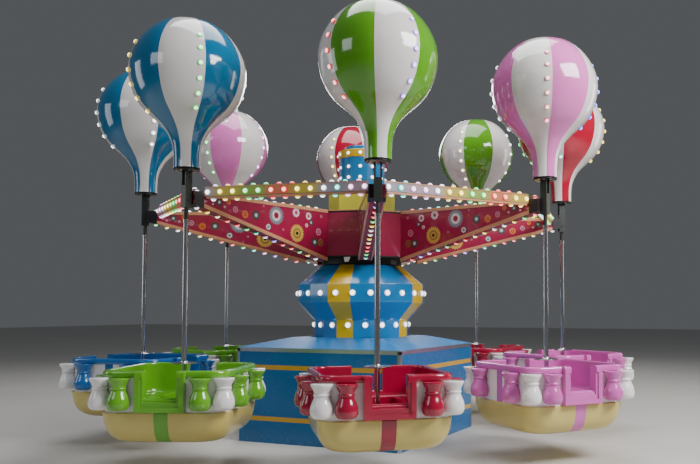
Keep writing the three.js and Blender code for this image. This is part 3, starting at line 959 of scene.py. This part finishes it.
# %% Rim beams, strips and lamps
beams, lips, lamps = Shape(), Shape(), Shape()
half = rim_half(RIM_INNER) - RIM_STRIP_GAP
middle_reach = (RIM_OUTER + RIM_INNER) / 2
for seat in range(SEATS):
    place = between_arms(seat)
    rim_beam(beams, seat, place)
    for outer, inner, low, high, finish in RIM_STRIPS:
        lips.add(box(-half, half, -outer, -inner, low, high), finish, place)
    for i in range(RIM_LAMPS):
        x = RIM_LAMP_SPREAD * (2 * i / (RIM_LAMPS - 1) - 1)
        under = x * RIM_UNDER_SHARE
        colour = rim_colour(seat, i)
        add_lamp(lamps, place @ facing((x, -RIM_OUTER, RIM_LAMP_HEIGHT), (0, -1, 0)), colour)
        add_lamp(lamps, place @ facing((under, -middle_reach, RIM_LIP_BOTTOM), (0, 0, -1)), colour)
        if i < RIM_LAMPS - 1:
            between = x + RIM_LAMP_SPREAD / (RIM_LAMPS - 1)
            add_lamp(lamps, place @ facing((between, -middle_reach, RIM_TOP), (0, 0, 1)), colour)
rim_object = beams.build("rim_bands", "head", "cream_paint", smooth=0)
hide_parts(*[f"rim_beam_{seat + 1}" for seat in range(SEATS)])
lips.build("rim_lips", "head", "cream_paint", smooth=0)
lamps.build("rim_lamps", "head", "cream_paint")

# %% [markdown]
# ## Poles and handwheels
#
# The frame's poles have few sides, so each gets a smooth tube in its place, with a stepped nut under
# the neck, the fixed handwheel that riders pull on, and the flange that carries the tub.

# %% Poles
POLE_RADIUS = 0.030
POLE_OUTLINE = [
    (0.0, 0.348), *disc_rim(0.110, 0.348, 0.362), (POLE_RADIUS, 0.362), (POLE_RADIUS, 1.148),
    (0.040, 1.150), (0.046, 1.156), (0.140, 1.157), (0.147, 1.159), (0.150, 1.163), (0.150, 1.167),
    (0.147, 1.171), (0.140, 1.173), (0.046, 1.174), (0.040, 1.180), (0.038, 1.186), (POLE_RADIUS, 1.190),
    (POLE_RADIUS, 2.760), (0.033, 2.762), (0.034, 2.770), (0.034, 2.7995), (0.0, 2.7995),
]

shape = Shape()
for seat in range(SEATS):
    shape.add(lathe(POLE_OUTLINE, 40), CHROME, at_mast(seat, arm_angle(seat)))
tubes = shape.build("chrome_poles", "head", "chrome", smooth=35)
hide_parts(*[f"hanger_pole_{seat + 1}" for seat in range(SEATS)])

# %% [markdown]
# ## The balloons
#
# Each balloon is one turned shell in polished gelcoat, four gores coloured and four white. The gores
# meet in a shallow groove, and a row of lamps climbs each white gore close to its right-hand seam.

# %% Balloon shape
BALLOON_STEPS = 96
BALLOON_LEVELS = 64
BALLOON_KNOTS = [
    (0.150, 3.3855), (0.149, 3.454), (0.152, 3.539), (0.163, 3.633), (0.194, 3.727), (0.262, 3.838),
    (0.376, 3.949), (0.488, 4.051), (0.575, 4.179), (0.627, 4.324), (0.648, 4.453), (0.646, 4.546),
    (0.618, 4.666), (0.562, 4.785), (0.489, 4.888), (0.403, 4.973), (0.300, 5.040), (0.165, 5.080),
    (0.0, 5.092),
]
CURVE_STEPS = 12
GORES = 8
GORE = 360 / GORES
GROOVE_DEEP = 0.003
GROOVE_WIDE = 1.6                  # degrees
GROOVE_FADE = 0.15                 # the grooves fade out inside this radius


def smooth_profile(knots, count):
    # Evenly spaced points on a smooth curve through the knots
    knots = [Vector(knot) for knot in knots]
    points = []
    for p0, p1, p2, p3 in zip([knots[0], *knots], knots, knots[1:], [*knots[2:], knots[-1]]):
        for k in range(CURVE_STEPS):
            t = k / CURVE_STEPS
            curve = 2 * p1 + (p2 - p0) * t + (2 * p0 - 5 * p1 + 4 * p2 - p3) * t * t
            points.append((curve + (3 * p1 - p0 - 3 * p2 + p3) * t ** 3) / 2)
    points.append(knots[-1])
    lengths = [0.0]
    for a, b in zip(points, points[1:]):
        lengths.append(lengths[-1] + (b - a).length)
    out = []
    for i in range(count):
        target = lengths[-1] * i / count
        j = max(bisect_left(lengths, target) - 1, 0)
        spot = points[j].lerp(points[j + 1], (target - lengths[j]) / (lengths[j + 1] - lengths[j]))
        out.append(tuple(spot))
    return [*out, (0.0, knots[-1].y)]


BALLOON_PROFILE = smooth_profile(BALLOON_KNOTS, BALLOON_LEVELS)
vertices, faces = lathe([(0.0, BALLOON_KNOTS[0][1]), *BALLOON_PROFILE], BALLOON_STEPS)
grooved = []
for x, y, z in vertices:
    radius = math.hypot(x, y)
    off = (math.degrees(math.atan2(x, -y)) + GORE / 2) % GORE - GORE / 2
    depth = GROOVE_DEEP * math.exp(-((off / GROOVE_WIDE) ** 2)) * min(1.0, radius / GROOVE_FADE)
    share = 1 - depth / radius if radius else 1
    grooved.append((x * share, y * share, z))
BALLOON_PART = (grooved, faces)
print("balloon:", len(faces), "faces")

# %% Balloon finishes and lamps
BALLOON_CODES = {"green": "539418", "pink": "d870b8", "red": "a81030", "blue": "0d6690"}
BALLOON_GELCOAT = {tone: gelcoat(f"balloon_{tone}", code, 0.12) for tone, code in BALLOON_CODES.items()}
BALLOON_WHITE = gelcoat("balloon_white", "d8d4d2", 0.12, 0.05)
BALLOON_COLOURS = "green pink red green red pink blue blue".split()
FIRST_SEAMS = [-21.0, 24.0, 19.2, 1.6, 0.0, 12.0, -33.0, -33.0]     # plan angle of one seam each
BALLOON_LAMP_HEIGHTS = [4.00, 4.13, 4.28, 4.44, 4.605, 4.765]
BALLOON_LAMP_OFF = 5.0             # degrees from the seam
BALLOON_LAMP_SIZE = 0.9
# Colours of the rows on the four white gores of each balloon
BALLOON_ROWS = [
    "violet green teal red", "blue teal white rose", "yellow white green teal", "white green lilac warm",
    "teal white white yellow", "lilac blue white green", "white teal red white", "green white blue yellow",
]


def radius_at(height):
    # The balloon's radius at a height, and the way that its skin faces there
    for (r0, z0), (r1, z1) in zip(BALLOON_PROFILE, BALLOON_PROFILE[1:]):
        if z0 <= height <= z1:
            share = (height - z0) / (z1 - z0)
            return r0 + (r1 - r0) * share, Vector((z1 - z0, r0 - r1)).normalized()


gores = [index % BALLOON_STEPS * GORES // BALLOON_STEPS for index in range(len(BALLOON_PART[1]))]
for seat in range(SEATS):
    colour = BALLOON_GELCOAT[BALLOON_COLOURS[seat]]
    finishes = [BALLOON_WHITE if gore % 2 else colour for gore in gores]
    place = at_mast(seat, FIRST_SEAMS[seat])
    shape = Shape().add(BALLOON_PART, finishes, place)
    slot = f"balloon_{BALLOON_COLOURS[seat]}"
    shell = shape.build(f"balloon_shell_{seat + 1}", "head", slot, smooth=60)
    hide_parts(f"balloon_{seat + 1}")
    lamps = Shape()
    for row, tone in enumerate(BALLOON_ROWS[seat].split()):
        angle = 2 * GORE * (row + 1) - BALLOON_LAMP_OFF
        for height in BALLOON_LAMP_HEIGHTS:
            radius, (outward, upward) = radius_at(height)
            out = turn(angle) @ Vector((0, -outward, upward))
            spot = turn(angle) @ Vector((0, -radius, height))
            add_lamp(lamps, place @ facing(spot, out), tone, BALLOON_LAMP_SIZE)
    lamps.build(f"balloon_lamps_{seat + 1}", "head", slot)

# %% [markdown]
# ## The tubs
#
# A tub is one moulded shell: a cream hull with a flat bottom, a white wall set back on it, and a
# coloured roll along the top that turns into the cabin. Two opposite sides are cut down to a stepped
# sill for getting in. The shell is made as a grid: columns go round the plan, rows go over the section
# from the pole hole, up the outside, over the rim and down into the foot well. Where the plan changes,
# such as at the edge of the entry, two columns stand in the same place and hold different heights, and
# one face between them becomes the upright edge.

# %% Tub section
TUB_FOOT = 0.3625
LEDGE = 0.690
SEAT = 0.780
WELL_FLOOR = 0.450
HOLE = 0.038
ENTRY_HALF, STEP_HALF, FRAME_HALF = 0.178, 0.206, 0.260
STRIPE_HALF, SIDE_STRIP_HALF = 0.0755, 0.062
WELL_X, WELL_Y = 0.290, 0.590
CORNER_STEPS = 8
WALL_CORNER = 0.200

# (half width, corner radius, height) of each row up the outside of the hull, and then over the rim
HULL_ROWS = [
    (0.515, 0.200, TUB_FOOT), (0.545, 0.203, 0.372), (0.575, 0.205, 0.388), (0.605, 0.206, 0.415),
    (0.632, 0.206, 0.450), (0.652, 0.206, 0.495), (0.666, 0.205, 0.545), (0.676, 0.203, 0.600),
    (0.682, 0.201, 0.655), (0.684, 0.200, 0.682), (0.680, 0.200, LEDGE),
]
RIM_ROWS = [
    (0.680, 0.208, 1.057), (0.686, 0.212, 1.060), (0.689, 0.214, 1.072), (0.689, 0.214, 1.100),
    (0.685, 0.212, 1.115), (0.677, 0.208, 1.125), (0.663, 0.200, 1.130), (0.640, 0.188, 1.130),
    (0.630, 0.183, 1.124), (0.6255, 0.180, 1.112), (0.625, 0.180, 1.100),
]
SEAT_ROWS = [(0.623, 0.180, 0.830), (0.620, 0.178, 0.800), (0.612, 0.174, 0.786), (0.598, 0.170, SEAT)]
WELL_ROWS = [(0.006, SEAT), (0.0, SEAT - 0.006), (0.0, WELL_FLOOR + 0.010), (-0.010, WELL_FLOOR)]

# (half width, height) of the rows between hull and rim, for each kind of column
FACE, STEP_BACK = 0.745, 0.727
UPRIGHT_ROWS = {
    "wall": [(0.665, z) for z in (0.691, 0.720, 0.760, 0.796, 0.800, 1.056)],
    "frame": [(FACE, z) for z in (0.700, 0.752, 0.770, 0.796, 0.800, 1.056)],
    "step": [(FACE, 0.700), (FACE, 0.752), *[(STEP_BACK, z) for z in (0.752, 0.796, 0.800, 1.056)]],
    "sill": [(FACE, 0.700), (FACE, 0.752), *[(STEP_BACK, z) for z in (0.752, 0.796, 0.800, 0.801)]],
}
SILL_ROWS = [
    (0.725, 0.803), (0.709, 0.804), (0.707, 0.808), (0.707, 0.824), (0.703, 0.829), (0.690, 0.830),
    (0.685, 0.835), (0.683, 0.840), (0.676, 0.846), (0.640, 0.846), (0.628, 0.838),
]
FRAME_PROUD = 0.056
FLUSH_ROW, FLAT_TOP_ROW = 3, 6     # rim rows that stand flush with the entry frame, or step in


# %% Columns round the plan
ENTRY_MARKS = [
    (FRAME_HALF, "wall"), (FRAME_HALF, "frame"), (STEP_HALF, "frame"), (STEP_HALF, "step"),
    (ENTRY_HALF, "step"), (ENTRY_HALF, "sill"), (STRIPE_HALF, "sill"),
]
OPEN_SIDE = [*[(-mark, kind) for mark, kind in ENTRY_MARKS], *reversed(ENTRY_MARKS)]
CLOSED_SIDE = [(spot, "wall") for spot in (-FRAME_HALF, -SIDE_STRIP_HALF, SIDE_STRIP_HALF, FRAME_HALF)]


def column(quarter, mark, kind, share=0.0):
    # The points of a column that stands on a flat side (mark) or on the corner after it (share)
    def at(half, corner):
        x, y = mark, -half
        if mark is None:
            angle = math.radians(90 * share)
            x = half - corner + corner * math.sin(angle)
            y = -(half - corner + corner * math.cos(angle))
        for _ in range(quarter):
            x, y = -y, x
        return x, y

    def hole(z):
        x, y = at(0.5, 0.2)
        length = math.hypot(x, y)
        return x * HOLE / length, y * HOLE / length, z

    flat_rows = [*UPRIGHT_ROWS[kind], *(SILL_ROWS if kind == "sill" else ())]
    rows = [*HULL_ROWS, *[(half, WALL_CORNER, z) for half, z in flat_rows]]
    for row, (half, corner, z) in enumerate(() if kind == "sill" else RIM_ROWS):
        if kind != "wall" and row <= FLAT_TOP_ROW:
            half = FACE if row <= FLUSH_ROW else half + FRAME_PROUD
        rows.append((half, corner, z))
    points = [hole(TUB_FOOT), *[(*at(half, corner), z) for half, corner, z in [*rows, *SEAT_ROWS]]]
    for edge, z in WELL_ROWS:
        x, y = at(*SEAT_ROWS[-1][:2])
        reach_x, reach_y = WELL_X + edge, WELL_Y + edge
        points.append((max(-reach_x, min(reach_x, x)), max(-reach_y, min(reach_y, y)), z))
    return [*points, hole(WELL_FLOOR)]


COLUMNS = []
for quarter in range(4):
    for mark, kind in OPEN_SIDE if quarter % 2 == 0 else CLOSED_SIDE:
        COLUMNS.append((quarter, mark, column(quarter, mark, kind)))
    for i in range(CORNER_STEPS + 1):
        COLUMNS.append((quarter, None, column(quarter, None, "wall", i / CORNER_STEPS)))
ROWS = len(COLUMNS[0][2])
print("tub grid:", len(COLUMNS), "columns of", ROWS, "rows")

# %% Faces of the tub
HULL_END = len(HULL_ROWS)
UPRIGHT_END = HULL_END + len(UPRIGHT_ROWS["wall"])


def tub_tone(quarter, mark, next_mark, row):
    # Names the colour of the band above a row, between one column and the next
    off = math.inf if mark is None or next_mark is None else abs(mark + next_mark) / 2
    entry = quarter % 2 == 0
    if row >= UPRIGHT_END:
        return "shell"
    if row > HULL_END:
        return "shell" if off < (FRAME_HALF if entry else SIDE_STRIP_HALF) else "white"
    if row == HULL_END:
        return "shell" if entry and off < FRAME_HALF else "cream"
    return "shell" if entry and off < STRIPE_HALF and row > 0 else "cream"


tub_vertices = [point for *_, points in COLUMNS for point in points]
tub_faces = []
tub_tones = []
for j, (quarter, mark, points) in enumerate(COLUMNS):
    k = (j + 1) % len(COLUMNS)
    _, next_mark, next_points = COLUMNS[k]
    same = [(Vector(a) - Vector(b)).length < 1e-5 for a, b in zip(points, next_points)]
    if all(same):
        continue
    if mark is not None and mark == next_mark:
        first = same.index(False) - 1
        last = ROWS - same[::-1].index(False)
        near = [j * ROWS + i for i in range(first + 1, last)]
        far = [k * ROWS + i for i in range(first + 1, last)]
        tub_faces.append([j * ROWS + first, *far, j * ROWS + last, *reversed(near)])
        tub_tones.append("shell")
        continue
    for i in range(ROWS):
        up = (i + 1) % ROWS
        tub_faces.append([j * ROWS + i, k * ROWS + i, k * ROWS + up, j * ROWS + up])
        tub_tones.append(tub_tone(quarter, mark, next_mark, i))
print("tub shell:", len(tub_faces), "faces before merging")

# %% [markdown]
# Sandbags hang round a real balloon basket. Here they are moulded half-round into the wall: a flared
# mouth, a neck with a cord bead in a groove, and a full belly. White ones stand on the corners, and
# coloured ones in pairs along the sides.

# %% Sandbags
BAG_OUTLINE = [
    (0.0, 0.722), (0.064, 0.722), (0.081, 0.725), (0.095, 0.734), (0.106, 0.750), (0.113, 0.772),
    (0.115, 0.796), (0.113, 0.822), (0.107, 0.848), (0.097, 0.874), (0.086, 0.898), (0.078, 0.917),
    (0.0745, 0.930), (0.0745, 0.936), (0.080, 0.940), (0.083, 0.946), (0.083, 0.953), (0.080, 0.959),
    (0.0745, 0.963), (0.0745, 0.968), (0.077, 0.977), (0.084, 0.994), (0.094, 1.013), (0.104, 1.029),
    (0.108, 1.040), (0.110, 1.049), (0.108, 1.055), (0.102, 1.058), (0.0, 1.0585),
]
BAG_STEPS = 32
BAG_ALONG = (0.428, 0.347)         # on a side with an entry and on a closed one
BAG_REACH = 0.728
CORNER_REACH = 0.930
BAG_BACK = 0.092                   # where a bag ends, inside the wall behind it
BAGS = []
for quarter in range(4):
    for side in (-1, 1):
        along = side * BAG_ALONG[quarter % 2]
        BAGS.append((turn(90 * quarter) @ Matrix.Translation((along, -BAG_REACH, 0)), "shell"))
    BAGS.append((turn(90 * quarter + 45) @ Matrix.Translation((0, -CORNER_REACH, 0)), "white"))

vertices, faces = lathe(BAG_OUTLINE, BAG_STEPS)
BAG_PART = ([(x, min(y, BAG_BACK), z) for x, y, z in vertices], faces)
print("sandbags on a tub:", len(BAGS))

# %% Tub finishes
TUB_COLOURS = "red pink pink red blue green blue green".split()
TUB_TURNS = [38.0, 50.7, 59.5, -3.7, 38.0, 68.3, 95.5, 21.7]        # plan angle of one entry each
TUB_CODES = {
    "red": ("9c1034", 0.16), "pink": ("d062b4", 0.14), "blue": ("1164a8", 0.14), "green": ("62a620", 0.16),
}
TUB_GELCOAT = {tone: gelcoat(f"tub_{tone}", *values) for tone, values in TUB_CODES.items()}
MERGE_DISTANCE = 0.00005


def tidy_mesh(made):
    # Merges what meets, so that edges can be rounded, and makes every face look outwards
    work = bmesh.new()
    work.from_mesh(made.data)
    bmesh.ops.remove_doubles(work, verts=work.verts, dist=MERGE_DISTANCE)
    bmesh.ops.dissolve_degenerate(work, edges=work.edges, dist=MERGE_DISTANCE)
    bmesh.ops.recalc_face_normals(work, faces=work.faces)
    work.to_mesh(made.data)
    work.free()


for seat in range(SEATS):
    colour = TUB_GELCOAT[TUB_COLOURS[seat]]
    finish = {"shell": colour, "white": WHITE_GELCOAT, "cream": CREAM_GELCOAT}
    place = at_mast(seat, TUB_TURNS[seat])
    body = f"tub_{seat + 1}"
    slot = f"tub_{TUB_COLOURS[seat]}"
    shape = Shape().add((tub_vertices, tub_faces), [finish[tone] for tone in tub_tones], place)
    shell = shape.build(f"tub_shell_{seat + 1}", body, slot, smooth=32, bevel=0.004)
    tidy_mesh(shell)
    bags = Shape()
    for spot, tone in BAGS:
        bags.add(BAG_PART, finish[tone], place @ spot)
    bags.build(f"tub_sandbags_{seat + 1}", body, slot, smooth=40)
    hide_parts(body)
